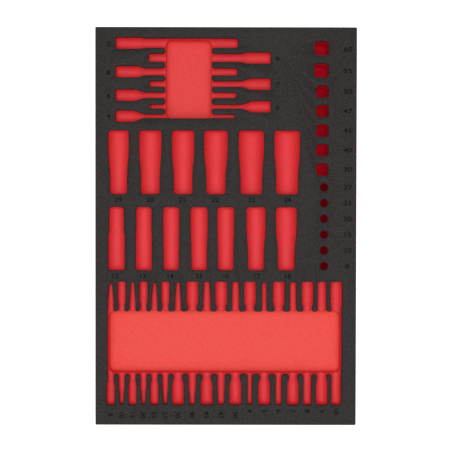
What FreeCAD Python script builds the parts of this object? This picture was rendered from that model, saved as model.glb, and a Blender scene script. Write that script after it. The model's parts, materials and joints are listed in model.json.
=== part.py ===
import FreeCAD, Part

# Foam tool insert for a drawer of a tool chest, seen with its back edge at +Y.
# A thin black sheet is bonded all over on a thick red block, and every pocket is
# milled down through the black into the red. Each pocket has the outline of its tool
# from above. The pockets of tools that lie down have half round floors.
# Origin: middle of the underside. X runs to the right, Y to the back, Z up.

import math
import os
from collections import namedtuple

from FreeCAD import Placement, Rotation, Vector

# Layers
base_thickness = 40.0
sheet_thickness = 5.0
outline_corner_radius = 1.5

# Margins between the outer edges and the pockets
left_margin = 13.8
field_left_inset = 4.4
field_right_margin = 17.6
column_right_margin = 40.4
front_margin = 28.5
back_margin = 14.5
row_gap = 17.0

# Long bit sockets: one length, a drive head, a neck and a bit
long_pocket_length = 177.3
head_length = 27.0
head_taper_length = 11.0
neck_end = 66.0
point_length = 45.0
large_head_width = 16.5
small_head_width = 10.7
large_neck_width = 11.6
small_neck_width = 8.3
hex_clearance = 1.7
bit_axis_depth = 8.5
bit_corner_cut = 1.3
trough_flats = 5

# Front field: cells side by side
small_bit_pitch = 15.7
large_bit_pitch = 20.7
small_bit_tips = (4.5, 4.6, 4.8, 4.9, 5.0, 5.4)
large_bit_shanks_and_tips = ((9.2, 4.4), (11.0, 6.4), (11.0, 6.6), (10.4, 7.6), (10.4, 8.2))
front_hexagons = (4, 5, 6, 7, 8, 9, 10)

# Side field: hexagon sizes from front to back, and the step from each row to the next
side_field_inset = 28.7
side_field_stagger = 46.9
side_rows = (
    (4, 13.8),
    (5, 16.1),
    (6, 16.2),
    (7, 17.3),
    (8, 20.0),
    (9, 20.9),
    (10, 0.0),
)

# Finger pockets, where the tools are picked up
finger_pocket_depth = 27.0
finger_corner_radius = 10.0
side_finger_start = 71.0
side_finger_width = 66.8
front_finger_start = 44.4
front_finger_length = 90.1

# Deep sockets, nut end at the back
socket_wall = 14.8
socket_length = 91.5
nut_end_length = 33.0
nut_taper_length = 30.0
drive_step_length = 8.0
socket_axis_depth = 5.0
nut_corner_cut = 1.9
drive_corner_cut = 2.4

# Upright pockets in a column by the right edge
column_gap = 20.4
upright_depth = 38.0
square_corner_radius = 4.5
large_square = 20.0
small_square = 17.3
round_diameter = 11.8
large_square_pitch = 31.8
small_square_pitch = 27.9
round_pitch = 22.6
upright_back_margin = 14.0

# How far a cutting shape runs past a face that it opens
overrun = 2.0

FrontBit = namedtuple("FrontBit", "head neck shank tip")
Socket = namedtuple("Socket", "nut_width drive_width wall_after")
Upright = namedtuple("Upright", "width corner_radius pitch")
Pocket = namedtuple("Pocket", "plan trough axis_depth")


def across_corners(hexagon):
    """Width over the corners of a hexagon of that size over its flats."""
    return hexagon * 2 / 3**0.5


def hexagon_width(hexagon):
    return across_corners(hexagon) + hex_clearance


def small_bit(tip):
    return FrontBit(small_head_width, small_neck_width, small_neck_width, tip)


def large_bit(shank, tip):
    return FrontBit(large_head_width, max(large_neck_width, shank), shank, tip)


def hexagon_bit(hexagon):
    return large_bit(hexagon_width(hexagon), hexagon_width(hexagon))


# Front field from left to right: small lobed bits, large lobed bits, hexagons
front_bits = [small_bit(tip) for tip in small_bit_tips]
front_bits += [large_bit(shank, tip) for shank, tip in large_bit_shanks_and_tips]
front_bits += [hexagon_bit(size) for size in front_hexagons]

# Deep sockets from left to right: the back row holds 19 to 24, the middle row 12 to 18
back_sockets = [
    Socket(29.5, 24.5, socket_wall),
    Socket(32.0, 27.0, socket_wall),
    Socket(32.4, 26.6, socket_wall - 0.9),
    Socket(34.0, 27.2, socket_wall + 0.9),
    Socket(36.3, 31.0, socket_wall),
    Socket(36.8, 31.6, socket_wall),
]
middle_sockets = [
    Socket(21.2, 23.8, socket_wall + 0.8),
    Socket(22.2, 23.2, socket_wall + 1.3),
    Socket(23.2, 22.0, socket_wall + 1.4),
    Socket(24.6, 22.2, socket_wall - 1.1),
    Socket(24.3, 22.2, socket_wall + 2.9),
    Socket(27.4, 22.8, socket_wall),
    Socket(30.0, 23.8, socket_wall),
]

# Upright pockets from back to front
uprights = [Upright(large_square, square_corner_radius, large_square_pitch)] * 2
uprights += [Upright(small_square, square_corner_radius, small_square_pitch)] * 5
uprights += [Upright(round_diameter, round_diameter / 2, round_pitch)] * 6


def row_width(sockets):
    """Width of a row of sockets from the first pocket's edge to the last one's."""
    walls = sum(s.wall_after for s in sockets[:-1])
    return walls + sum(max(s.nut_width, s.drive_width) for s in sockets)


def bit_pitch(bit):
    if bit.head > small_head_width:
        return large_bit_pitch
    return small_bit_pitch


# The block is as large as its rows of pockets and the margins round them
side_field_height = sum(step for _, step in side_rows)
side_front_shank = hexagon_width(side_rows[0][0])
insert_length = (
    front_margin
    + long_pocket_length
    + 2 * socket_length
    + 3 * row_gap
    + side_front_shank / 2
    + side_field_height
    + large_head_width / 2
    + back_margin
)
front_field_width = sum(bit_pitch(bit) for bit in front_bits)
column_right = left_margin + field_left_inset + row_width(back_sockets)
column_right += column_gap + large_square
insert_width = max(
    left_margin + front_field_width + field_right_margin,
    column_right + column_right_margin,
)
total_thickness = base_thickness + sheet_thickness

left = -insert_width / 2
right = insert_width / 2
front = -insert_length / 2
back = insert_length / 2

front_field_front = front + front_margin
front_field_back = front_field_front + long_pocket_length
middle_row_back = front_field_back + row_gap + socket_length
back_row_back = middle_row_back + row_gap + socket_length
side_field_front = back_row_back + row_gap


def rectangle(x_low, y_low, x_high, y_high, radius=0):
    """Face of a rectangle, with round corners if a radius is given."""
    plate = Part.makePlane(x_high - x_low, y_high - y_low, Vector(x_low, y_low, 0))
    if radius == 0:
        return plate
    solid = plate.extrude(Vector(0, 0, overrun))
    upright_edges = [e for e in solid.Edges if e.BoundBox.ZLength > overrun / 2]
    rounded = solid.makeFillet(radius, upright_edges)
    underside = min(rounded.Faces, key=lambda face: face.CenterOfMass.z)
    return Part.Face(underside.OuterWire)


def raised(face, low, high):
    """Solid between two heights over a plan face drawn at height zero."""
    lifted = face.copy()
    lifted.translate(Vector(0, 0, low))
    return lifted.extrude(Vector(0, 0, high - low))


def without_needless(stations):
    """The stations, without those where the width stays as it was on both sides."""
    kept = [stations[0]]
    for before, station, after in zip(stations, stations[1:], stations[2:]):
        if before[1] != station[1] or station[1] != after[1]:
            kept.append(station)
    kept.append(stations[-1])
    return kept


def tool_outline(stations, first_cut, last_cut):
    """Plan of a round tool that lies along +X from the origin.

    stations holds (distance from the tool's first end, width there). The cuts take the
    corners off the outline's two ends.
    """
    start, first_width = stations[0]
    end, last_width = stations[-1]
    side = [(start, first_width / 2 - first_cut), (start + first_cut, first_width / 2)]
    side += [(at, width / 2) for at, width in stations[1:-1]]
    side += [(end - last_cut, last_width / 2), (end, last_width / 2 - last_cut)]
    other_side = [(x, -y) for x, y in reversed(side)]
    points = [Vector(x, y, 0) for x, y in side + other_side]
    return Part.Face(Part.makePolygon(points + points[:1]))


def round_body(stations):
    """The half of a tool's body that is below its axis, turned about that axis."""
    profile = [(0, 0)] + [(at, width / 2) for at, width in stations]
    profile += [(stations[-1][0], 0), (0, 0)]
    half = Part.Face(Part.makePolygon([Vector(x, y, 0) for x, y in profile]))
    return half.revolve(Vector(0, 0, 0), Vector(1, 0, 0), -180)


def flat_sided_body(stations):
    """The same half of a slim tool's body, with a few long flats in place of its round."""
    rings = []
    for at, width in stations:
        angles = [math.pi * (1 + i / trough_flats) for i in range(trough_flats + 1)]
        ring = [
            Vector(at, math.cos(a) * width / 2, math.sin(a) * width / 2) for a in angles
        ]
        rings.append(ring)
    outlines = [rings[0], rings[-1]]
    outlines.append([r[0] for r in rings] + [r[-1] for r in reversed(rings)])
    for near, far in zip(rings, rings[1:]):
        for i in range(trough_flats):
            outlines.append([near[i], near[i + 1], far[i + 1], far[i]])
    faces = [Part.Face(Part.makePolygon(o + o[:1])) for o in outlines]
    return Part.Solid(Part.Shell(faces))


def tool_pocket(plan, body, axis_depth):
    """Pocket whose trough is the body, trimmed to the corners of the plan."""
    depth = plan.BoundBox.YLength
    return Pocket(plan, body.common(raised(plan, -depth, 0)), axis_depth)


def placed(pocket, x, y, turn):
    """The pocket with its first end at (x, y), pointing turn degrees from +X."""
    spot = Placement(Vector(x, y, 0), Rotation(Vector(0, 0, 1), turn))
    plan = pocket.plan.copy()
    plan.Placement = spot.multiply(plan.Placement)
    trough = pocket.trough.copy()
    trough.Placement = spot.multiply(trough.Placement)
    trough.translate(Vector(0, 0, total_thickness - pocket.axis_depth))
    return Pocket(plan, trough, pocket.axis_depth)


def bit_pocket(bit):
    stations = without_needless(
        [
            (0, bit.head),
            (head_length, bit.head),
            (head_length + head_taper_length, bit.neck),
            (neck_end, bit.neck),
            (neck_end + head_taper_length, bit.shank),
            (long_pocket_length - point_length, bit.shank),
            (long_pocket_length, bit.tip),
        ]
    )
    plan = tool_outline(stations, bit_corner_cut, bit_corner_cut)
    return tool_pocket(plan, flat_sided_body(stations), bit_axis_depth)


def socket_pocket(socket):
    taper = nut_taper_length
    if socket.drive_width > socket.nut_width:
        taper = drive_step_length
    stations = [
        (0, socket.nut_width),
        (nut_end_length, socket.nut_width),
        (nut_end_length + taper, socket.drive_width),
        (socket_length, socket.drive_width),
    ]
    plan = tool_outline(stations, nut_corner_cut, drive_corner_cut)
    return tool_pocket(plan, round_body(stations), socket_axis_depth)


def side_field():
    """Long bit pockets along X, with their heads by turns at the left and the right."""
    pockets = []
    y = side_field_front + side_front_shank / 2
    for size, step in side_rows:
        shank = hexagon_width(size)
        bit = FrontBit(large_head_width, shank, shank, shank)
        x = left + side_field_inset
        turn = 0
        if size % 2:
            x += side_field_stagger + long_pocket_length
            turn = 180
        pockets.append(placed(bit_pocket(bit), x, y, turn))
        y += step
    return pockets


def front_field():
    """Long bit pockets along Y, with their heads by turns at the front and the back."""
    pockets = []
    x = left + left_margin
    for i, bit in enumerate(front_bits):
        pitch = bit_pitch(bit)
        if i % 2:
            spot = (x + pitch / 2, front_field_back, -90)
        else:
            spot = (x + pitch / 2, front_field_front, 90)
        pockets.append(placed(bit_pocket(bit), *spot))
        x += pitch
    return pockets


def socket_row(sockets, y_nut):
    """Deep socket pockets from left to right, with their nut ends at the back."""
    pockets = []
    x = left + left_margin + field_left_inset
    for socket in sockets:
        width = max(socket.nut_width, socket.drive_width)
        pockets.append(placed(socket_pocket(socket), x + width / 2, y_nut, -90))
        x += width + socket.wall_after
    return pockets


def side_finger_face(radius=0):
    """Plan of the finger pocket that crosses the side field, flush with its outer shanks."""
    x = left + side_field_inset + side_finger_start
    back_shank = hexagon_width(side_rows[-1][0])
    y_high = side_field_front + side_front_shank / 2 + side_field_height + back_shank / 2
    return rectangle(x, side_field_front, x + side_finger_width, y_high, radius)


def front_finger_face(radius=0):
    """Plan of the finger pocket that crosses the front field, flush with its outer bits."""
    first, last = front_bits[0], front_bits[-1]
    x_low = left + left_margin + (bit_pitch(first) - first.shank) / 2
    x_high = left + left_margin + front_field_width
    x_high -= (bit_pitch(last) - last.shank) / 2
    y = front_field_front + front_finger_start
    return rectangle(x_low, y, x_high, y + front_finger_length, radius)


def upright_faces():
    """Plans of the upright pockets, level with each other along their right edges."""
    faces = []
    y = back - upright_back_margin
    for upright in uprights:
        y_middle = y - upright.pitch / 2
        half = upright.width / 2
        x_middle = left + column_right - half
        if upright.corner_radius < half:
            face = rectangle(
                x_middle - half,
                y_middle - half,
                x_middle + half,
                y_middle + half,
                upright.corner_radius,
            )
        else:
            circle = Part.makeCircle(half, Vector(x_middle, y_middle, 0))
            face = Part.Face(Part.Wire(circle))
        faces.append(face)
        y -= upright.pitch
    return faces


def block(low, high):
    """Rectangular layer of the insert between two heights."""
    face = rectangle(left, front, right, back, outline_corner_radius)
    return raised(face, low, high)


long_pockets = side_field() + front_field()
socket_pockets = socket_row(back_sockets, back_row_back)
socket_pockets += socket_row(middle_sockets, middle_row_back)


def black_top_sheet():
    """Thin sheet with an opening for every pocket."""
    plans = [pocket.plan for pocket in long_pockets + socket_pockets]
    plans += [side_finger_face(), front_finger_face()]
    plans += upright_faces()
    low = base_thickness - overrun
    high = total_thickness + overrun
    cuts = [raised(plan, low, high) for plan in plans]
    return block(base_thickness, total_thickness).cut(cuts)


def red_base_block():
    """Thick block that holds every floor.

    The finger pockets have square corners as deep as the axes of the long tools, and
    round ones below, where only the finger pockets are left.
    """
    high = base_thickness + overrun
    axis_level = total_thickness - bit_axis_depth
    finger_floor = total_thickness - finger_pocket_depth
    upright_floor = total_thickness - upright_depth
    cuts = [pocket.trough for pocket in long_pockets + socket_pockets]
    cuts += [raised(pocket.plan, axis_level, high) for pocket in long_pockets]
    cuts += [raised(face, upright_floor, high) for face in upright_faces()]
    for finger_face in (side_finger_face, front_finger_face):
        cuts.append(raised(finger_face(), axis_level, high))
        cuts.append(raised(finger_face(finger_corner_radius), finger_floor, axis_level))
    return block(0, base_thickness).cut(cuts)


def save(name, shape):
    solid = shape.Solids[0]
    print(name, len(shape.Solids), solid.isValid(), round(solid.Volume), len(solid.Faces))
    solid.exportStep("parts/" + name + ".step")


print("plan", round(insert_width, 2), round(insert_length, 2), "thick", total_thickness)
os.makedirs("parts", exist_ok=True)
save("red_base_block", red_base_block())
save("black_top_sheet", black_top_sheet())
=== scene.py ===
# %% [markdown]
# # A foam tool insert for a drawer
# The real object is a slab of closed-cell foam that lies in a drawer of a tool chest. A thin
# black sheet is bonded on a thick red block, and pockets are milled through the black into
# the red, so that a missing tool shows as a red shape. The frame below holds the plain solid
# model of both layers. This lesson makes the same two layers again, with the round floors,
# soft corners, numbers and foam that the plain model leaves out.

# %% Load the frame
import json
import math

import bmesh
import bpy
from mathutils import Matrix, Vector

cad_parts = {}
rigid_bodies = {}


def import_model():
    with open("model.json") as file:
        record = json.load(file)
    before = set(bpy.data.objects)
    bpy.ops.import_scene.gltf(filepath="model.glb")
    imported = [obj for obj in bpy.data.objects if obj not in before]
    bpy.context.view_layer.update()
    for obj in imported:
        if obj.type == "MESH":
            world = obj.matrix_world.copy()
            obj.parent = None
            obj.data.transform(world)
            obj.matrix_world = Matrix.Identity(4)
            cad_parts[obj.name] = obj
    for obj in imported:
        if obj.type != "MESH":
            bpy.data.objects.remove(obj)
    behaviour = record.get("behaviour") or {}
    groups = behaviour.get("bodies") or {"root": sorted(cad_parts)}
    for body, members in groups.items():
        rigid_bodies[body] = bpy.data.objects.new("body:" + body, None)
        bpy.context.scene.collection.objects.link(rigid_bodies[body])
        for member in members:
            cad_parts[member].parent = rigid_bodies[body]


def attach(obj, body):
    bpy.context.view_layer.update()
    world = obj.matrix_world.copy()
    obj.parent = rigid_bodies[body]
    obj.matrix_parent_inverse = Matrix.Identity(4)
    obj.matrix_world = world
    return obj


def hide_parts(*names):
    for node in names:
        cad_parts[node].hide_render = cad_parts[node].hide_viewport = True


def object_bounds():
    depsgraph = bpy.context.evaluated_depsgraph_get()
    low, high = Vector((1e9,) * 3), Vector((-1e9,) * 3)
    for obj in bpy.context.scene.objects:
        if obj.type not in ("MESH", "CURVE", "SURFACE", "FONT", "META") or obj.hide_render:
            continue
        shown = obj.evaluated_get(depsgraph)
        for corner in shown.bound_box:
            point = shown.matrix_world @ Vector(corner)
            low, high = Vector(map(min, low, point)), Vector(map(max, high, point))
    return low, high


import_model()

solid_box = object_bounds()
print("solid model from", solid_box[0], "to", solid_box[1])

# %% [markdown]
# ## Working in millimetres
# Tool makers think in millimetres and Blender in metres. Every shape here is drawn in
# millimetres and made smaller by a thousand once, when it becomes an object. The shape stays
# where it is drawn, and its object stays at the origin, which keeps patterns in place.

# %% A mesh object from a shape in millimetres
MM = 0.001


def finish_shape(name, shape, finishes):
    """Turns a bmesh drawn in millimetres into an object at the origin."""
    bmesh.ops.scale(shape, vec=(MM, MM, MM), verts=shape.verts)
    mesh = bpy.data.meshes.new(name)
    shape.to_mesh(mesh)
    shape.free()
    piece = bpy.data.objects.new(name, mesh)
    bpy.context.scene.collection.objects.link(piece)
    for finish in finishes:
        mesh.materials.append(finish)
    return piece


print("1 mm is", MM, "units")

# %% [markdown]
# ## The two layers and their edges
# The block is 40 mm thick and the sheet on it 5 mm. Both are sawn to one outline, so a box
# with slightly round upright edges is all that they are before the milling. The plan's size
# comes from the frame, because the scene may not change it.

# %% Sizes of the slab
BLOCK_TOP = 40.0
SHEET_TOP = 45.0
OUTLINE_RADIUS = 1.5
LEFT, FRONT = solid_box[0][0] / MM, solid_box[0][1] / MM
RIGHT, BACK = solid_box[1][0] / MM, solid_box[1][1] / MM
print("plan %.1f by %.1f mm" % (RIGHT - LEFT, BACK - FRONT))

# %% [markdown]
# ## A box with round corners
# The slab, the finger pockets and the square pockets are all boxes with round corners. A
# bevel modifier could round them, but it would round every edge alike. Here a cube's upright
# edges are bevelled first, because the edges round its floor then run on through the corners,
# and a second bevel with its own radius can follow them.

# %% A box with round corners
TOUCHING = 1e-4


def rounded_box(low, high, corner, floor=0.0, corner_steps=8, floor_steps=5):
    """A box between two points, with its upright edges rounded, and then its floor's edges."""
    box = bmesh.new()
    bmesh.ops.create_cube(box, size=1.0)
    size = Vector(high) - Vector(low)
    bmesh.ops.scale(box, vec=size, verts=box.verts)
    bmesh.ops.translate(box, vec=(Vector(low) + Vector(high)) / 2, verts=box.verts)
    upright = [e for e in box.edges if abs(e.verts[0].co.z - e.verts[1].co.z) > size.z / 2]
    bmesh.ops.bevel(
        box, geom=upright, offset=corner, segments=corner_steps, profile=0.5,
        affect="EDGES", material=-1,
    )
    if floor > 0:
        rim = [e for e in box.edges if all(v.co.z < low[2] + TOUCHING for v in e.verts)]
        bmesh.ops.bevel(
            box, geom=rim, offset=floor, segments=floor_steps, profile=0.5,
            affect="EDGES", material=-1,
        )
    return box


print("points count as touching within", TOUCHING, "mm")

# %% [markdown]
# ## The soft rim of a pocket
# Foam gives way under the cutter, so the top edge of a pocket is never quite sharp. A bevel
# on the milled sheet would have to find its way round every rim. It is surer to shape the
# cutters: each flares over its last half millimetre below the surface. Cuts across it give
# new rings of points, and the points move outwards along a quarter of a circle. The last cut
# lies a trace above the surface, so that the cutter is still flared where it leaves the foam.

# %% A soft rim
RIM = 0.5
RIM_DEPTHS = (RIM, RIM * 0.6, RIM * 0.25, -0.02)


def soften_rim(cutter):
    """Flares a cutter at the surface, so that the pocket gets a rounded top edge."""
    for depth in RIM_DEPTHS:
        everything = cutter.verts[:] + cutter.edges[:] + cutter.faces[:]
        bmesh.ops.bisect_plane(
            cutter, geom=everything, dist=TOUCHING, plane_co=(0, 0, SHEET_TOP - depth),
            plane_no=(0, 0, 1),
        )
    cutter.normal_update()
    moves = []
    for point in cutter.verts:
        depth = max(SHEET_TOP - point.co.z, 0.0)
        if depth < RIM * 0.99:
            outward = Vector((point.normal.x, point.normal.y, 0.0)).normalized()
            moves.append((point, outward * (RIM - math.sqrt(RIM ** 2 - (RIM - depth) ** 2))))
    for point, move in moves:
        point.co += move


print("rims are rounded over", RIM, "mm")

# %% [markdown]
# ## Colours and cells of the foam
# Closed-cell polyethylene foam is matt. Seen close up it is a field of tiny cells, about half
# a millimetre wide, and the light catches their walls. A Voronoi texture gives cells
# directly, so it drives the bump and a slight change of colour. Larger, softer noise adds
# the patches where the foam was denser when it was blown. All of it reads Object coordinates,
# so the pattern runs through corners as it does in a solid material.

# %% Small helpers for shader nodes
def add_node(tree, kind, **settings):
    """A new node with its settings, where a name with a number sets that input's value."""
    node = tree.nodes.new(kind)
    for name, value in settings.items():
        if name in node.inputs:
            node.inputs[name].default_value = value
        else:
            setattr(node, name, value)
    return node


def link(tree, start, end):
    tree.links.new(start, end)


def noise_of(tree, place, scale, detail, roughness=0.5):
    node = add_node(tree, "ShaderNodeTexNoise")
    node.inputs["Scale"].default_value = scale
    node.inputs["Detail"].default_value = detail
    node.inputs["Roughness"].default_value = roughness
    link(tree, place, node.inputs["Vector"])
    return node.outputs["Fac"]


def ranged(tree, value, from_low, from_high, to_low, to_high):
    """A value moved from one range to another, and held inside it."""
    node = add_node(tree, "ShaderNodeMapRange")
    for name, number in zip(
        ("From Min", "From Max", "To Min", "To Max"), (from_low, from_high, to_low, to_high)
    ):
        node.inputs[name].default_value = number
    link(tree, value, node.inputs["Value"])
    return node.outputs["Result"]


def times(tree, first, second):
    node = add_node(tree, "ShaderNodeMath", operation="MULTIPLY")
    link(tree, first, node.inputs[0])
    link(tree, second, node.inputs[1])
    return node.outputs["Value"]


print("helpers that add, link, range and multiply nodes are ready")

# %% [markdown]
# A picture of foam could give the grain, but it would repeat, and stretch on the walls. Here
# three patterns of their own sizes are laid over each other: single cells, clumps of cells
# and wide patches. Each is a factor near 1, and the factors are multiplied together, so that
# all of them together still make a small change of the colour.

# %% Cells, clumps and patches
CELL_SIZE, CELL_REACH = 0.00055, 0.9
CLUMP_SCALE, CLUMP_RANGE = 640.0, (0.40, 0.60)
PATCH_SCALE, PATCH_RANGE = 90.0, (0.3, 0.7)


def foam_shade(tree, place, grain, speck):
    """How light the foam is at a place, as a factor, and how far the middle of its cell is."""
    cells = add_node(tree, "ShaderNodeTexVoronoi", feature="F1")
    cells.inputs["Scale"].default_value = 1 / CELL_SIZE
    link(tree, place, cells.inputs["Vector"])
    cell = cells.outputs["Distance"]
    shade = ranged(tree, cell, 0.0, CELL_REACH, 1 + grain, 1 - grain)
    clumps = noise_of(tree, place, scale=CLUMP_SCALE, detail=3.0, roughness=0.65)
    shade = times(tree, shade, ranged(tree, clumps, *CLUMP_RANGE, 1 - speck, 1 + speck))
    patches = noise_of(tree, place, scale=PATCH_SCALE, detail=4.0, roughness=0.6)
    patchy = speck / 6
    shade = times(tree, shade, ranged(tree, patches, *PATCH_RANGE, 1 - patchy, 1 + patchy))
    return shade, cell


print("cells are", CELL_SIZE / MM, "mm wide")

# %% [markdown]
# On the long floors the cutter's passes show as faint lines that follow each other along the
# pocket. Grooves in the mesh would be far too many, so a wave texture gives the lines. Some
# distortion lets them wander, because foam tears unevenly.

# %% The passes of the cutter
PASS_SCALE, PASS_WANDER, PASS_DETAIL = 210.0, 2.5, 3.0


def cutter_passes(tree, place, shade, cell, marks, mark_depth, mark_shade):
    """The shade and the height of the foam, with the passes along one axis added."""
    bands = add_node(tree, "ShaderNodeTexWave", wave_type="BANDS", bands_direction=marks)
    bands.inputs["Scale"].default_value = PASS_SCALE
    bands.inputs["Distortion"].default_value = PASS_WANDER
    bands.inputs["Detail"].default_value = PASS_DETAIL
    bands.inputs["Detail Scale"].default_value = 0.6
    link(tree, place, bands.inputs["Vector"])
    band = bands.outputs["Fac"]
    shade = times(tree, shade, ranged(tree, band, 0.0, 1.0, 1 - mark_shade, 1 + mark_shade))
    mixed = add_node(tree, "ShaderNodeMath", operation="MULTIPLY_ADD")
    link(tree, band, mixed.inputs[0])
    mixed.inputs[1].default_value = mark_depth
    link(tree, cell, mixed.inputs[2])
    return shade, mixed.outputs["Value"]


print("one pass is about", round(math.pi / 10 / PASS_SCALE / MM, 1), "mm wide")

# %% [markdown]
# One function makes every foam of the insert, because they differ only in colour, sheen and
# cutter marks. The shade scales the colour, and the height of the cells tips the light that
# falls on them, through a Bump node.

# %% The foam material
BUMP_STRENGTH, BUMP_HEIGHT = 0.35, 0.00025


def foam(name, colour, gloss, dull, grain, speck, marks=None, mark_depth=0.0, mark_shade=0.0):
    """Foam of one colour.

    gloss is how strong the sheen of its skin is, and dull how widely that sheen spreads.
    grain is how much the cells vary in shade, and speck how much the clumps of cells do.
    marks is the axis that the cutter's passes follow each other along, where it left any.
    """
    material = bpy.data.materials.new(name)
    material.use_nodes = True
    material.diffuse_color = (*colour, 1.0)
    tree = material.node_tree
    shader = tree.nodes["Principled BSDF"]
    shader.inputs["Roughness"].default_value = dull
    shader.inputs["Specular IOR Level"].default_value = gloss
    place = add_node(tree, "ShaderNodeTexCoord").outputs["Object"]
    shade, height = foam_shade(tree, place, grain, speck)
    if marks is not None:
        shade, height = cutter_passes(tree, place, shade, height, marks, mark_depth, mark_shade)

    tint = add_node(tree, "ShaderNodeVectorMath", operation="SCALE")
    tint.inputs[0].default_value = colour
    link(tree, shade, tint.inputs["Scale"])
    link(tree, tint.outputs["Vector"], shader.inputs["Base Color"])
    bump = add_node(tree, "ShaderNodeBump")
    bump.inputs["Strength"].default_value = BUMP_STRENGTH
    bump.inputs["Distance"].default_value = BUMP_HEIGHT
    link(tree, height, bump.inputs["Height"])
    link(tree, bump.outputs["Normal"], shader.inputs["Normal"])
    return material


print("bumps are", BUMP_HEIGHT / MM, "mm high")

# %% [markdown]
# The real insert has one black foam and one red foam. A saw and a cutter leave the cells open
# in different ways, so sawn and milled faces differ in sheen. The other differences are
# painted light and shade: the flat floors are the dullest and are painted the palest, for the
# light and sheen on them; steep walls and the narrow side pocket's floor are painted darker,
# and the bottoms of the upright pockets the deepest red, for the shade in them; and the
# engraved numbers are painted near black, for the shade in their grooves.

# %% The finishes of the insert
PASS_DEPTH, PASS_SHADE = 0.8, 0.06
BLACK = (0.0185, 0.0145, 0.0137)
CUT_BLACK = (0.0160, 0.0125, 0.0118)
ENGRAVED_SHADED_BLACK = (0.0040, 0.0035, 0.0035)
RED = (0.730, 0.024, 0.033)
LIT_FLOOR_RED = (0.840, 0.076, 0.063)
SHADED_FLOOR_RED = (0.765, 0.058, 0.058)
SHADED_WALL_RED = (0.720, 0.030, 0.038)
DEEP_SHADED_RED = (0.680, 0.009, 0.030)
black_skin = foam("black_foam_skin", BLACK, 0.20, 0.55, 0.25, 0.70)
black_cut = foam("black_foam_milled", CUT_BLACK, 0.12, 0.55, 0.20, 0.40)
# The engraved grooves: the black painted near black, for the shade in them.
black_engraved_painted_shade = foam("black_foam_engraved_painted_shade", ENGRAVED_SHADED_BLACK, 0.05, 0.55, 0.20, 0.10)
red_skin = foam("red_foam_sawn", RED, 0.40, 0.55, 0.08, 0.07)
# The flat floors: the red painted paler and pinker, for painted light and sheen.
red_floor_painted_sheen = foam("red_foam_floor_painted_sheen", LIT_FLOOR_RED, 0.28, 0.70, 0.08, 0.07)
# The side pocket's floor: the same red painted darker, for shade in the narrow pocket at the
# back.
red_floor_painted_shade = foam("red_foam_floor_painted_shade", SHADED_FLOOR_RED, 0.28, 0.70, 0.08, 0.07)
# Steep walls: the red painted darker, for the shade on upright faces.
red_wall_painted_shade = foam("red_foam_wall_painted_shade", SHADED_WALL_RED, 0.20, 0.70, 0.08, 0.07)
# The upright pockets' bottoms: the red painted deeper and darker, with little sheen, for the
# shade and bounced red light deep in them.
red_deep_painted_shade = foam("red_foam_deep_painted_shade", DEEP_SHADED_RED, 0.03, 0.70, 0.08, 0.07)
red_along_x = foam("red_foam_milled_x", RED, 0.56, 0.66, 0.08, 0.07, "X", PASS_DEPTH, PASS_SHADE)
red_along_y = foam("red_foam_milled_y", RED, 0.56, 0.66, 0.08, 0.07, "Y", PASS_DEPTH, PASS_SHADE)
print(len(bpy.data.materials), "materials")

# %% [markdown]
# ## A pocket in the shape of a tool that lies down
# A socket is round, so the pocket that it lies in is half round at the bottom, with straight
# walls from the tool's axis up to the surface. A modeller could loft that by hand. It is
# quicker to draw half of the tool's outline as a line of points, round its corners with a
# vertex bevel, and spin it half a turn below the axis. The spun shell's open rim is then the
# tool's outline seen from above, and that rim is pulled straight up and closed.

# %% Half a tool, spun and pulled up
CUT_HEIGHT = 60.0
SPIN_STEPS, CORNER_STEPS = 22, 5


def placed(place, height, turn):
    """The move that turns a shape about the upright axis and carries it to its place."""
    return Matrix.Translation((*place, height)) @ Matrix.Rotation(math.radians(turn), 4, "Z")


def tool_cutter(stations, corner_radii, axis_height, place, turn):
    """The closed shape that mills one tool's pocket.

    stations holds (distance from the tool's first end, width there), and corner_radii how
    much each station's corner is rounded. The tool lies along X before it is turned.
    """
    cutter = bmesh.new()
    line = [(stations[0][0], 0.0)]
    line += [(at, width / 2) for at, width in stations]
    line += [(stations[-1][0], 0.0)]
    points = [cutter.verts.new((x, y, 0.0)) for x, y in line]
    for first, second in zip(points, points[1:]):
        cutter.edges.new((first, second))
    for point, radius in zip(points[1:-1], corner_radii):
        bmesh.ops.bevel(
            cutter, geom=[point], offset=radius, segments=CORNER_STEPS, profile=0.5,
            affect="VERTICES", material=-1,
        )
    bmesh.ops.spin(
        cutter, geom=cutter.verts[:] + cutter.edges[:], cent=(0, 0, 0), axis=(1, 0, 0),
        dvec=(0, 0, 0), angle=-math.pi, steps=SPIN_STEPS, use_merge=False,
        use_normal_flip=False, use_duplicate=False,
    )
    bmesh.ops.remove_doubles(cutter, verts=cutter.verts, dist=TOUCHING)
    rim = [e for e in cutter.edges if e.is_boundary]
    walls = bmesh.ops.extrude_edge_only(cutter, edges=rim)["geom"]
    top = [v for v in walls if isinstance(v, bmesh.types.BMVert)]
    bmesh.ops.translate(cutter, vec=(0, 0, CUT_HEIGHT - axis_height), verts=top)
    bmesh.ops.contextual_create(
        cutter, geom=[e for e in cutter.edges if e.is_boundary]
    )
    bmesh.ops.recalc_face_normals(cutter, faces=cutter.faces)
    bmesh.ops.transform(cutter, matrix=placed(place, axis_height, turn), verts=cutter.verts)
    soften_rim(cutter)
    return cutter


print("a trough has", SPIN_STEPS, "steps round its floor")

# %% [markdown]
# ## Where the pockets are
# The insert is laid out as a chain of margins, cells and walls, as a designer would set it
# out. Each value is a distance in millimetres on the real insert. The pockets could be placed
# one by one, but as a chain each field starts where the one before it ends, and the walls
# between them keep their thickness.

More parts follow.
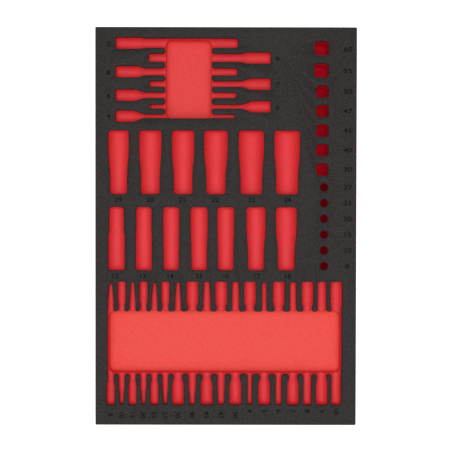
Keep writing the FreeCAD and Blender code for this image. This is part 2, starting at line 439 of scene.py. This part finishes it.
# %% Layout of the long bit pockets
LONG_POCKET = 177.3
NECK_END, SHOULDER_SLOPE, SHANK_TAPER = 66.0, 1.4, 11.0
POINT_START, POINT_MIDDLE = 26.0, 15.5
LARGE_HEAD, SMALL_HEAD, LARGE_NECK, SMALL_NECK = 16.9, 11.7, 11.8, 8.8
BIT_AXIS = SHEET_TOP - 8.5
SMALL_PITCH, LARGE_PITCH = 15.7, 20.7
FRONT_FIELD_LEFT = LEFT + 13.8
FRONT_FIELD_FRONT = FRONT + 28.5
FRONT_FIELD_BACK = FRONT_FIELD_FRONT + LONG_POCKET
print("long pockets from", FRONT_FIELD_FRONT, "to", FRONT_FIELD_BACK)

# %% [markdown]
# A bit socket's pocket is told in two halves: the socket with its head and neck, and the bit
# with its shank and its point. The point narrows in two steps. The milled pocket ends a
# little early where the bit is short, so each one also has its own gap at that end. Lobed
# bits have a point of their own for each size, and a hexagon bit is as wide all along. A row
# of large_points gives shank, middle of the point, tip and gap, and one of hexagons the
# width and the gap.

# %% The bits of the front field
small_gaps = (3.5, 1.2, 1.5, 1.2, 2.3, 1.4)
large_points = (
    (8.5, 6.9, 4.8, 1.3), (10.8, 8.3, 6.8, 0.3), (10.4, 9.1, 7.6, 0.3),
    (10.3, 9.5, 8.3, 0.5), (10.2, 9.8, 8.9, 0.5),
)
hexagons = (
    (6.0, 1.0), (6.5, 1.8), (8.3, 0.3), (9.1, 1.0), (11.5, 0.0), (12.7, 0.0), (13.7, 0.0)
)
SMALL_SHOULDER_END, LARGE_SHOULDER_END, NECK_ROOM = 33.0, 37.5, 0.9
small_socket = (SMALL_HEAD, SMALL_NECK, SMALL_SHOULDER_END)
small_point = (SMALL_NECK, 6.2, 5.1)
large_socket = (LARGE_HEAD, LARGE_NECK, LARGE_SHOULDER_END)
front_bits = [(small_socket, small_point, gap, SMALL_PITCH) for gap in small_gaps]
for shank, middle, tip, gap in large_points:
    front_bits.append((large_socket, (shank, middle, tip), gap, LARGE_PITCH))
for width, gap in hexagons:
    socket = (LARGE_HEAD, max(LARGE_NECK, width + NECK_ROOM), LARGE_SHOULDER_END)
    front_bits.append((socket, (width, width, width), gap, LARGE_PITCH))
print(len(front_bits), "long pockets in the front field")

# %% [markdown]
# The eighteen bit sockets of the front field lie side by side, with their heads by turns at
# the front and at the back, so that the wide heads sit beside slim points. One cutter shape
# serves for all of them, turned by a quarter one way or the other.

# %% Cutters of the long bit pockets
SHOULDER_RADII, SHANK_RADII, POINT_RADII = [2.5] * 2, [4.0] * 2, [3.0] * 2
cutters = []


def bit_cutter(name, socket, bit, gap, place, turn, finish):
    """Cuts one long pocket: its head tapers to the neck, and its shank to the point."""
    (head, neck, shoulder_end), (shank, middle, tip) = socket, bit
    stations = [
        (0, head),
        (shoulder_end - SHOULDER_SLOPE * (head - neck), head),
        (shoulder_end, neck),
        (NECK_END, neck),
        (NECK_END + SHANK_TAPER, shank),
        (LONG_POCKET - POINT_START, shank),
        (LONG_POCKET - POINT_MIDDLE, middle),
        (LONG_POCKET - gap, tip),
    ]
    head_corner, tip_corner = min(3.0, 0.4 * head), min(2.6, 0.42 * tip)
    radii = [head_corner] + SHOULDER_RADII + SHANK_RADII + POINT_RADII + [tip_corner]
    cutter = tool_cutter(stations, radii, BIT_AXIS, place, turn)
    cutters.append(finish_shape("cutter_" + name, cutter, [finish]))


x = FRONT_FIELD_LEFT
for i, (socket, bit, gap, pitch) in enumerate(front_bits):
    if i % 2:
        place, turn = (x + pitch / 2, FRONT_FIELD_BACK), -90
    else:
        place, turn = (x + pitch / 2, FRONT_FIELD_FRONT), 90
    bit_cutter("front_bit_%d" % i, socket, bit, gap, place, turn, red_along_y)
    x += pitch
FRONT_FIELD_RIGHT = x
print("front field from %.1f to %.1f" % (FRONT_FIELD_LEFT, FRONT_FIELD_RIGHT))

# %% [markdown]
# ## Deep sockets
# A deep impact socket has a wide end for the nut and a slimmer drive end, with a long taper
# between them. Both rows lie with the nut end towards the back. The smaller sockets of the
# middle row are the other way round: their drive end is the wider one. They are the same
# kind of shape as the bit sockets, so the same function spins them from four stations. Each
# row of the tables gives the nut end, the drive end and the wall to the next pocket.

# %% Cutters of the deep socket pockets
ROW_GAP, SOCKET_LENGTH, SOCKET_AXIS, WALL = 17.0, 91.5, SHEET_TOP - 5.0, 14.8
ROW_MARGIN, NUT_LENGTH, LONG_TAPER, SHORT_TAPER = 4.4, 33.0, 30.0, 8.0
MIDDLE_ROW_LOWERED, MIDDLE_ROW_SHORTER = 1.5, 0.7
NUT_CORNER, DRIVE_CORNER, TAPER_ROUNDED = 4.5, 4.0, 0.3
MIDDLE_ROW_BACK = FRONT_FIELD_BACK + ROW_GAP + SOCKET_LENGTH
BACK_ROW_BACK = MIDDLE_ROW_BACK + ROW_GAP + SOCKET_LENGTH
back_sockets = (
    (29.5, 24.5, WALL), (32.0, 27.0, WALL), (32.4, 26.6, WALL - 0.9),
    (34.0, 27.2, WALL + 0.9), (36.3, 31.0, WALL), (36.8, 31.6, WALL),
)
middle_sockets = (
    (21.2, 23.8, WALL + 0.8), (22.2, 23.2, WALL + 1.3), (23.2, 22.0, WALL + 1.4),
    (24.6, 22.2, WALL - 1.1), (24.3, 22.2, WALL + 2.9), (27.4, 22.8, WALL),
    (30.0, 23.8, WALL),
)
middle_back = MIDDLE_ROW_BACK - MIDDLE_ROW_LOWERED
middle_length = SOCKET_LENGTH - MIDDLE_ROW_SHORTER
for row, sockets, back_end, length in (
    ("back", back_sockets, BACK_ROW_BACK, SOCKET_LENGTH),
    ("middle", middle_sockets, middle_back, middle_length),
):
    x = FRONT_FIELD_LEFT + ROW_MARGIN
    for i, (nut, drive, wall) in enumerate(sockets):
        taper = LONG_TAPER if nut >= drive else SHORT_TAPER
        stations = [(0, nut), (NUT_LENGTH, nut), (NUT_LENGTH + taper, drive), (length, drive)]
        radii = [NUT_CORNER, TAPER_ROUNDED * taper, TAPER_ROUNDED * taper, DRIVE_CORNER]
        place = (x + max(nut, drive) / 2, back_end)
        cutter = tool_cutter(stations, radii, SOCKET_AXIS, place, -90)
        name = "cutter_%s_socket_%d" % (row, i)
        cutters.append(finish_shape(name, cutter, [red_along_y]))
        x += max(nut, drive) + wall
print(len(cutters), "cutters so far")

# %% [markdown]
# ## The side field
# Seven hexagon bit sockets lie across the insert in the back left corner, heads by turns at
# the left and at the right. Each row gives a bit's size, the width of its slot, the gap at
# its plain end and the step to the next slot, so the rows read like the drawing of the field.

# %% Cutters of the side field
SIDE_FRONT = BACK_ROW_BACK + ROW_GAP
SIDE_HEAD, SIDE_SHOULDER_END = 16.5, 41.0
SIDE_LEFT, SIDE_OFFSET, FIRST_SLOT_MIDDLE = LEFT + 28.7, 45.0, 3.2
side_bits = (
    (4, 5.5, 6.3, 13.8), (5, 6.3, 4.0, 16.1), (6, 8.4, 4.5, 16.2), (7, 8.6, 3.7, 17.3),
    (8, 10.5, 3.0, 20.0), (9, 12.1, 2.6, 20.9), (10, 13.9, 2.3, 0.0),
)
y = SIDE_FRONT + FIRST_SLOT_MIDDLE
side_slots = []
for size, width, gap, step in side_bits:
    x, turn = SIDE_LEFT, 0
    if size % 2:
        x, turn = SIDE_LEFT + SIDE_OFFSET + LONG_POCKET, 180
    socket = (SIDE_HEAD, width, SIDE_SHOULDER_END)
    bit_cutter("side_bit_%d" % size, socket, (width,) * 3, gap, (x, y), turn, red_along_x)
    side_slots.append((y, width))
    y += step
SIDE_BACK = side_slots[-1][0] + side_slots[-1][1] / 2
print("side field from %.1f to %.1f" % (SIDE_FRONT, SIDE_BACK))

# %% [markdown]
# ## Finger pockets
# Two flat-floored pockets let the fingers reach under the long tools. They are milled with a
# ball-nosed cutter, so the floor runs up into the walls with a radius, and the rounded box
# has that radius already. The steep part of a wall is painted a deeper red than the floor, for
# the shade on upright faces under light from above, so steep faces get a finish of their own.

# %% Cutters of the finger pockets
FINGER_FLOOR = SHEET_TOP - 27.0
FINGER_CORNER, FINGER_FILLET = 9.0, 8.5
STEEP = 0.6
SIDE_FINGER_START, SIDE_FINGER_WIDTH = 71.0, 66.8
FRONT_FINGER_START, FRONT_FINGER_DEPTH, RIGHT_ROOM = 44.4, 90.1, 0.5
first_width, last_width = SMALL_NECK, hexagons[-1][0]
side_finger = (
    SIDE_LEFT + SIDE_FINGER_START,
    SIDE_FRONT,
    SIDE_LEFT + SIDE_FINGER_START + SIDE_FINGER_WIDTH,
    SIDE_BACK,
)
front_finger = (
    FRONT_FIELD_LEFT + (SMALL_PITCH - first_width) / 2,
    FRONT_FIELD_FRONT + FRONT_FINGER_START,
    FRONT_FIELD_RIGHT - (LARGE_PITCH - last_width) / 2 + RIGHT_ROOM,
    FRONT_FIELD_FRONT + FRONT_FINGER_START + FRONT_FINGER_DEPTH,
)
# The front pocket's floor is painted paler and pinker, for light and sheen, and the side
# pocket's floor darker, for shade.
for name, (x_low, y_low, x_high, y_high), finish in (
    ("side", side_finger, red_floor_painted_shade), ("front", front_finger, red_floor_painted_sheen)
):
    low, high = (x_low, y_low, FINGER_FLOOR), (x_high, y_high, CUT_HEIGHT)
    cutter = rounded_box(low, high, FINGER_CORNER, FINGER_FILLET)
    cutter.normal_update()
    # Steep faces take the second finish, the red with painted shade.
    for face in cutter.faces:
        face.material_index = int(abs(face.normal.z) < STEEP)
    soften_rim(cutter)
    cutters.append(finish_shape("cutter_%s_finger" % name, cutter, [finish, red_wall_painted_shade]))
print("finger pockets", side_finger, front_finger)

# %% [markdown]
# The walls between the long pockets end at the finger pockets, and each end is rounded. A
# small bell mouth does that: a T seen from above, whose inner corners get a vertex bevel. The
# outermost slots share an edge with the finger pocket, so their T has one arm only.

# %% A bell mouth
MOUTH_RADIUS, MOUTH_STEPS, OVERLAP, BACKING = 2.8, 6, 0.05, 1.0


def bell_mouth(width, place, turn, straight):
    """A T-shaped prism with round inner corners. Its stem is as wide as the slot.

    straight is the direction in which the rim runs straight on, so that no arm is needed.
    """
    side = (Matrix.Rotation(math.radians(turn), 3, "Z") @ Vector((0, 1, 0))).dot(straight)
    half, reach = width / 2, MOUTH_RADIUS + OVERLAP
    low, high = (0.0 if side < -0.5 else reach), (0.0 if side > 0.5 else reach)
    outline = [
        (-BACKING, -half - low), (0.0, -half - low), (0.0, -half), (reach, -half),
        (reach, half), (0.0, half), (0.0, half + high), (-BACKING, half + high),
    ]
    mouth = bmesh.new()
    points = [mouth.verts.new((x, y, 0.0)) for x, y in outline]
    mouth.faces.new(points)
    corners = [points[at] for at, arm in ((2, low), (5, high)) if arm]
    bmesh.ops.bevel(
        mouth, geom=corners, offset=MOUTH_RADIUS, segments=MOUTH_STEPS, profile=0.5,
        affect="VERTICES", material=-1,
    )
    bmesh.ops.remove_doubles(mouth, verts=mouth.verts, dist=TOUCHING)
    raised = bmesh.ops.extrude_face_region(mouth, geom=mouth.faces[:])["geom"]
    top = [v for v in raised if isinstance(v, bmesh.types.BMVert)]
    bmesh.ops.translate(mouth, vec=(0, 0, CUT_HEIGHT - BIT_AXIS), verts=top)
    bmesh.ops.recalc_face_normals(mouth, faces=mouth.faces)
    bmesh.ops.transform(mouth, matrix=placed(place, BIT_AXIS, turn), verts=mouth.verts)
    soften_rim(mouth)
    return mouth


print("wall ends are rounded with", MOUTH_RADIUS, "mm")

# %% [markdown]
# Every slot of a field opens into the finger pocket on both of its sides, so each slot gets
# two mouths. The list is filled from the same rows that made the slots, so that the mouths
# are as wide as the slots are where they meet the pocket.

# %% Bell mouths where the slots meet the finger pockets
def outermost(i, count, towards):
    """The direction away from the other slots, for the first slot and the last."""
    return {0: -towards, count - 1: towards}.get(i, Vector((0, 0, 0)))


mouths = []
for i, (y, width) in enumerate(side_slots):
    straight = outermost(i, len(side_slots), Vector((0, 1, 0)))
    mouths.append((width, (side_finger[0], y), 180, straight))
    mouths.append((width, (side_finger[2], y), 0, straight))
x = FRONT_FIELD_LEFT
for i, (socket, bit, _, pitch) in enumerate(front_bits):
    (_, neck, _), (shank, _, _) = socket, bit
    near, far = (neck, shank) if i % 2 == 0 else (shank, neck)
    straight = outermost(i, len(front_bits), Vector((1, 0, 0)))
    mouths.append((near, (x + pitch / 2, front_finger[1]), -90, straight))
    mouths.append((far, (x + pitch / 2, front_finger[3]), 90, straight))
    x += pitch
for i, mouth in enumerate(mouths):
    cutters.append(finish_shape("cutter_mouth_%d" % i, bell_mouth(*mouth), [red_floor_painted_sheen]))
print(len(mouths), "bell mouths")

# %% [markdown]
# ## Upright pockets
# The column at the right holds bit sockets that stand on end: two large square pockets, five
# smaller ones and six round ones. They are deep and narrow, so little light gets in. A
# square one is a rounded box, and a round one starts as a cone with both radii alike. The
# table gives a pocket's width, its corner radius, which is 0 for a round one, and its share
# of the column.

# %% Cutters of the upright pockets
UPRIGHT_FLOOR, UPRIGHT_FILLET = SHEET_TOP - 38.0, 1.0
UPRIGHT_RIGHT, UPRIGHT_MARGIN, ROUND_STEPS = 146.6, 14.0, 40
uprights = [(20.0, 4.5, 31.8)] * 2 + [(17.3, 4.5, 27.9)] * 5 + [(11.8, 0.0, 22.6)] * 6
upright_places = []
y = BACK - UPRIGHT_MARGIN
for i, (width, corner, pitch) in enumerate(uprights):
    x, y_middle = UPRIGHT_RIGHT - width / 2, y - pitch / 2
    if corner:
        low = (x - width / 2, y_middle - width / 2, UPRIGHT_FLOOR)
        high = (x + width / 2, y_middle + width / 2, CUT_HEIGHT)
        cutter = rounded_box(
            low, high, corner, UPRIGHT_FILLET, corner_steps=6, floor_steps=2
        )
    else:
        cutter = bmesh.new()
        bmesh.ops.create_cone(
            cutter, cap_ends=True, segments=ROUND_STEPS, radius1=width / 2,
            radius2=width / 2, depth=CUT_HEIGHT - UPRIGHT_FLOOR,
        )
        middle = (x, y_middle, (CUT_HEIGHT + UPRIGHT_FLOOR) / 2)
        bmesh.ops.translate(cutter, vec=middle, verts=cutter.verts)
    soften_rim(cutter)
    # Their finish is painted the deepest red, for the shade deep in them.
    cutters.append(finish_shape("cutter_upright_%d" % i, cutter, [red_deep_painted_shade]))
    upright_places.append(y_middle)
    y -= pitch
print(len(uprights), "upright pockets,", len(cutters), "cutters in all")

# %% [markdown]
# ## Milling the layers
# The real pockets are milled through the sheet and into the block, and so are these: it would
# take far longer to draw each layer with its holes. A Boolean modifier takes the whole
# collection of cutters away at once. Its exact solver copes with cutters that overlap each
# other, as the slots and the finger pockets do, and gives each cut face its cutter's finish.

# %% Take the cutters away from a layer
pockets = bpy.data.collections.new("pocket_cutters")
for cutter in cutters:
    bpy.context.scene.collection.objects.unlink(cutter)
    pockets.objects.link(cutter)


def apply_modifiers(piece):
    """Keeps what the modifiers make as the piece's own mesh."""
    graph = bpy.context.evaluated_depsgraph_get()
    graph.update()
    made = bpy.data.meshes.new_from_object(piece.evaluated_get(graph))
    piece.modifiers.clear()
    plain, piece.data = piece.data, made
    made.name = piece.name
    bpy.data.meshes.remove(plain)


def mill(piece, collection):
    cut = piece.modifiers.new("milling", "BOOLEAN")
    cut.operation = "DIFFERENCE"
    cut.operand_type = "COLLECTION"
    cut.collection = collection
    cut.solver = "EXACT"
    cut.material_mode = "TRANSFER"
    apply_modifiers(piece)
    print(piece.name, len(piece.data.polygons), "faces")


bpy.context.scene.collection.children.link(pockets)

# %% [markdown]
# The red block is most of the insert, and holds the floor of every pocket. It lies flat in the
# drawer, so its underside is plain. It starts as a rounded box, and because a sawn edge of
# foam is a little soft, its lower edge has a radius of half a millimetre before it is milled.

# %% The red block
UNDERSIDE_RADIUS = 0.5
block_low, block_high = (LEFT, FRONT, 0.0), (RIGHT, BACK, BLOCK_TOP)
block_shape = rounded_box(
    block_low, block_high, OUTLINE_RADIUS, UNDERSIDE_RADIUS, corner_steps=4, floor_steps=2
)
red_block = finish_shape("red_foam_block", block_shape, [red_skin])
mill(red_block, pockets)

# %% [markdown]
# The black sheet is milled with the same cutters as the block, so the two openings of a
# pocket line up. Only the finishes change first: where a cutter passes through the sheet, it
# leaves milled black foam and not red.

# %% The black sheet
for cutter in cutters:
    for slot in range(len(cutter.data.materials)):
        cutter.data.materials[slot] = black_cut
sheet_low, sheet_high = (LEFT, FRONT, BLOCK_TOP), (RIGHT, BACK, SHEET_TOP)
sheet_shape = rounded_box(sheet_low, sheet_high, OUTLINE_RADIUS, corner_steps=4)
black_sheet = finish_shape("black_foam_sheet", sheet_shape, [black_skin])
mill(black_sheet, pockets)

# %% [markdown]
# ## Engraved numbers
# Each pocket has its size cut into the black sheet beside it. Numbers could be painted on
# with a picture, but these are real grooves that catch a shadow, and their faces are painted
# near black as well, for the shade deep in them. Blender's own font is a plain sans serif,
# close to the engraver's. A text object is turned into a flat mesh, and the text object is
# deleted again.

# %% A flat number
def flat_number(text, stroke_gain):
    """One number in Blender's own font, as a flat shape. stroke_gain makes it bolder."""
    words = bpy.data.curves.new("number_" + text, "FONT")
    words.body = text
    words.align_x = "CENTER"
    words.align_y = "CENTER"
    words.resolution_u = 4
    words.offset = stroke_gain
    holder = bpy.data.objects.new("number_" + text, words)
    flat = bpy.data.meshes.new_from_object(holder)
    digits = bmesh.new()
    digits.from_mesh(flat)
    bpy.data.objects.remove(holder)
    bpy.data.curves.remove(words)
    bpy.data.meshes.remove(flat)
    return digits


sample = flat_number("10", stroke_gain=0.0)
print("a sample number has", len(sample.verts), "points")
sample.free()

# %% [markdown]
# A flat number is scaled to the height of the digits, pulled up into a solid that stands out
# of the sheet, and laid in its place. It is then cut out of the sheet like a pocket.

# %% A number as a cutter
DIGIT_HEIGHT, ENGRAVED_DEPTH, ABOVE = 6.9, 1.6, 1.0


def number_cutter(text, place, turn, stroke_gain, stretch):
    """The solid that engraves one number. stretch makes it wider."""
    digits = flat_number(text, stroke_gain)
    bmesh.ops.remove_doubles(digits, verts=digits.verts, dist=TOUCHING / 10)
    low = min(v.co.y for v in digits.verts)
    high = max(v.co.y for v in digits.verts)
    scale = DIGIT_HEIGHT / (high - low)
    bmesh.ops.translate(digits, vec=(0, -(low + high) / 2, 0), verts=digits.verts)
    bmesh.ops.scale(digits, vec=(scale * stretch, scale, 1), verts=digits.verts)
    raised = bmesh.ops.extrude_face_region(digits, geom=digits.faces[:])["geom"]
    top = [v for v in raised if isinstance(v, bmesh.types.BMVert)]
    bmesh.ops.translate(digits, vec=(0, 0, ENGRAVED_DEPTH + ABOVE), verts=top)
    bmesh.ops.recalc_face_normals(digits, faces=digits.faces)
    floor = SHEET_TOP - ENGRAVED_DEPTH
    bmesh.ops.transform(digits, matrix=placed(place, floor, turn), verts=digits.verts)
    # The grooves get the black with painted shade.
    return finish_shape("cutter_number_" + text, digits, [black_engraved_painted_shade])


print("digits are", DIGIT_HEIGHT, "mm high")

# %% [markdown]
# The side field and the two rows of sockets have bold numbers. They stand on straight lines
# beside the pockets, but not at even steps, so each one's place is listed. The 10 is
# narrower than the others, because it has less room.

# %% The numbers of the side field and the socket rows
BOLD, REGULAR = 0.014, 0.006
NARROW, PLAIN, WIDE, WIDER, WIDEST = 0.75, 1.0, 1.05, 1.1, 1.3
SIDE_LEFT_LABELS, SIDE_RIGHT_LABELS = -168.0, 73.5
BACK_ROW_LABELS, MIDDLE_ROW_LABELS = 38.5, -71.0
numbers = [("10", (SIDE_LEFT_LABELS, 260.0), 0, BOLD, NARROW)]
for text, y in (("8", 220.0), ("6", 187.0), ("4", 157.5)):
    numbers.append((text, (SIDE_LEFT_LABELS, y), 0, BOLD, PLAIN))
for text, y in (("9", 239.5), ("7", 203.0), ("5", 170.5)):
    numbers.append((text, (SIDE_RIGHT_LABELS, y), 0, BOLD, PLAIN))
back_labels = (-154.3, -108.7, -62.6, -14.9, 37.0, 88.3)
middle_labels = (-158.8, -119.3, -80.3, -38.2, 0.0, 44.1, 88.3)
for size, x in enumerate(back_labels, start=19):
    numbers.append((str(size), (x, BACK_ROW_LABELS), 0, BOLD, WIDER))
for size, x in enumerate(middle_labels, start=12):
    numbers.append((str(size), (x, MIDDLE_ROW_LABELS), 0, BOLD, WIDER))
print(len(numbers), "bold numbers")

# %% [markdown]
# The bits of the front field and the upright pockets have thinner and wider numbers. Each
# stands level with its pocket, so their places come from the same tables as the pockets.
# Those of the front field are turned, so that they read from the right. The lobed bits'
# numbers stand a little further from their pockets than the hexagons' do.

# %% The numbers of the bits
UPRIGHT_LABELS, LOBED_LABELS, HEXAGON_LABELS = 174.3, -270.5, -265.0
upright_sizes = (60, 55, 50, 47, 45, 40, 30, 27, 25, 20, 15, 10, 8)
lowered = [1.6, 0.8] + [0.0] * (len(upright_sizes) - 2)
for size, y, drop in zip(upright_sizes, upright_places, lowered):
    numbers.append((str(size), (UPRIGHT_LABELS, y - drop), 0, REGULAR, WIDEST))
lobed_sizes, hexagon_sizes = (8, 10, 15, 20, 25, 27, 30, 40, 45, 47, 50), range(4, 11)
front_labels = [(size, LOBED_LABELS) for size in lobed_sizes]
front_labels += [(size, HEXAGON_LABELS) for size in hexagon_sizes]
x = FRONT_FIELD_LEFT
for (size, y), (*_, pitch) in zip(front_labels, front_bits):
    numbers.append((str(size), (x + pitch / 2, y), -90, REGULAR, WIDE))
    x += pitch
print(len(numbers), "numbers in all")

# %% [markdown]
# The numbers are cut last and into the sheet alone, because they are not as deep as it is
# thick. They are a collection of their own, so that one Boolean cuts them all.

# %% Engrave the numbers
engraving = bpy.data.collections.new("number_cutters")
bpy.context.scene.collection.children.link(engraving)
for number in numbers:
    digits = number_cutter(*number)
    bpy.context.scene.collection.objects.unlink(digits)
    engraving.objects.link(digits)
mill(black_sheet, engraving)

# %% [markdown]
# ## Smooth floors and crisp rims
# The milled floors are shaded smooth, and any edge sharper than a set angle stays sharp. The
# cutters have done their work and are deleted.

# %% Shade the pieces and clear away the cutters
SHARP = math.radians(32)
for piece in (red_block, black_sheet):
    piece.data.shade_smooth()
    piece.data.set_sharp_from_angle(angle=SHARP)
    print(piece.name, len(piece.data.materials), "finishes", len(piece.data.vertices), "points")
for collection in (pockets, engraving):
    for cutter in list(collection.objects):
        mesh = cutter.data
        bpy.data.objects.remove(cutter)
        bpy.data.meshes.remove(mesh)
    bpy.data.collections.remove(collection)

# %% [markdown]
# ## Standing in for the solid model
# Each foam piece takes the place of one node of the frame.

# %% Ride and replace
for piece, node, slot in (
    (red_block, "red_base_block", "red_foam"),
    (black_sheet, "black_top_sheet", "black_foam"),
):
    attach(piece, "root")
    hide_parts(node)
    print(piece.name, "stands in for", node)

# %% [markdown]
# ## Floor and light
# The photograph is a catalogue picture on plain white. The floor is a real surface that
# catches the insert's shadow, and it only looks brighter to the camera. A brighter lamp
# would whiten the floor too, but it would also wash out the foam.

# %% Floor
FLOOR_GLOW, FLOOR_REACH, FLOOR_WHITE = 0.75, 4000.0, (0.86, 0.86, 0.86, 1.0)
floor_shape = bmesh.new()
bmesh.ops.create_grid(floor_shape, x_segments=1, y_segments=1, size=FLOOR_REACH)
floor_finish = bpy.data.materials.new("white_floor")
floor_finish.use_nodes = True
tree = floor_finish.node_tree
tree.nodes.clear()
output = add_node(tree, "ShaderNodeOutputMaterial")
matt = add_node(tree, "ShaderNodeBsdfDiffuse")
matt.inputs["Color"].default_value = FLOOR_WHITE
glow = add_node(tree, "ShaderNodeEmission")
both = add_node(tree, "ShaderNodeAddShader")
rays = add_node(tree, "ShaderNodeLightPath")
seen = add_node(tree, "ShaderNodeMath", operation="MULTIPLY")
seen.inputs[1].default_value = FLOOR_GLOW
link(tree, rays.outputs["Is Camera Ray"], seen.inputs[0])
link(tree, seen.outputs["Value"], glow.inputs["Strength"])
link(tree, matt.outputs["BSDF"], both.inputs[0])
link(tree, glow.outputs["Emission"], both.inputs[1])
link(tree, both.outputs["Shader"], output.inputs["Surface"])
floor = finish_shape("studio_floor", floor_shape, [floor_finish])
print("floor", FLOOR_REACH * 2 * MM, "m wide")

# %% [markdown]
# Even light from overhead suits an object that is all pockets: a softbox above the middle
# lights the floors, a smaller one nearer the front evens out the walls, and a grey sky fills
# the rest. The sky is white to the camera only.

# %% World and lamps
SKY_LIGHT, SKY_SEEN = 0.38, 1.0
world = bpy.data.worlds.new("soft_studio")
bpy.context.scene.world = world
world.use_nodes = True
tree = world.node_tree
sky = tree.nodes["Background"]
sky.inputs["Color"].default_value = (1.0, 1.0, 1.0, 1.0)
rays = add_node(tree, "ShaderNodeLightPath")
strength = ranged(tree, rays.outputs["Is Camera Ray"], 0.0, 1.0, SKY_LIGHT, SKY_SEEN)
link(tree, strength, sky.inputs["Strength"])


def soft_lamp(name, place, size, power):
    lamp = bpy.data.lights.new(name, "AREA")
    lamp.shape = "SQUARE"
    lamp.size = size
    lamp.energy = power
    holder = bpy.data.objects.new(name, lamp)
    holder.location = place
    holder.rotation_euler = (-Vector(place)).to_track_quat("-Z", "Y").to_euler()
    bpy.context.scene.collection.objects.link(holder)


soft_lamp("key_softbox", (-0.1, 0.1, 2.2), size=2.0, power=30.5)
soft_lamp("fill_softbox", (0.25, -0.9, 2.0), size=1.4, power=10.0)
bpy.context.scene.view_settings.view_transform = "Standard"
print(len(bpy.data.lights), "lamps and the sky")

# %% [markdown]
# ## Camera
# The photograph looks almost straight down from about 1.3 m. The back edge is a trace nearer
# to the lens, and the picture is turned by a tenth of a degree. A camera that tracks its
# target would lose that turn, so its matrix is built from the line of sight instead.

# %% Camera
ROLL = 0.095
eye = Vector((-0.00137, 0.0190, 1.3469))
target = Vector((0.00019, 0.00087, 0.045))
lens = bpy.data.cameras.new("photo_camera")
lens.sensor_width = 36.0
lens.lens = 72.40
camera = bpy.data.objects.new("photo_camera", lens)
forward = (target - eye).normalized()
right = forward.cross(Vector((0, 1, 0))).normalized()
aim = Matrix((right, right.cross(forward), -forward)).transposed().to_4x4()
roll = Matrix.Rotation(math.radians(ROLL), 4, "Z")
camera.matrix_world = Matrix.Translation(eye) @ aim @ roll
bpy.context.scene.collection.objects.link(camera)
bpy.context.scene.camera = camera
print("the camera is", round(eye.z, 2), "m up")
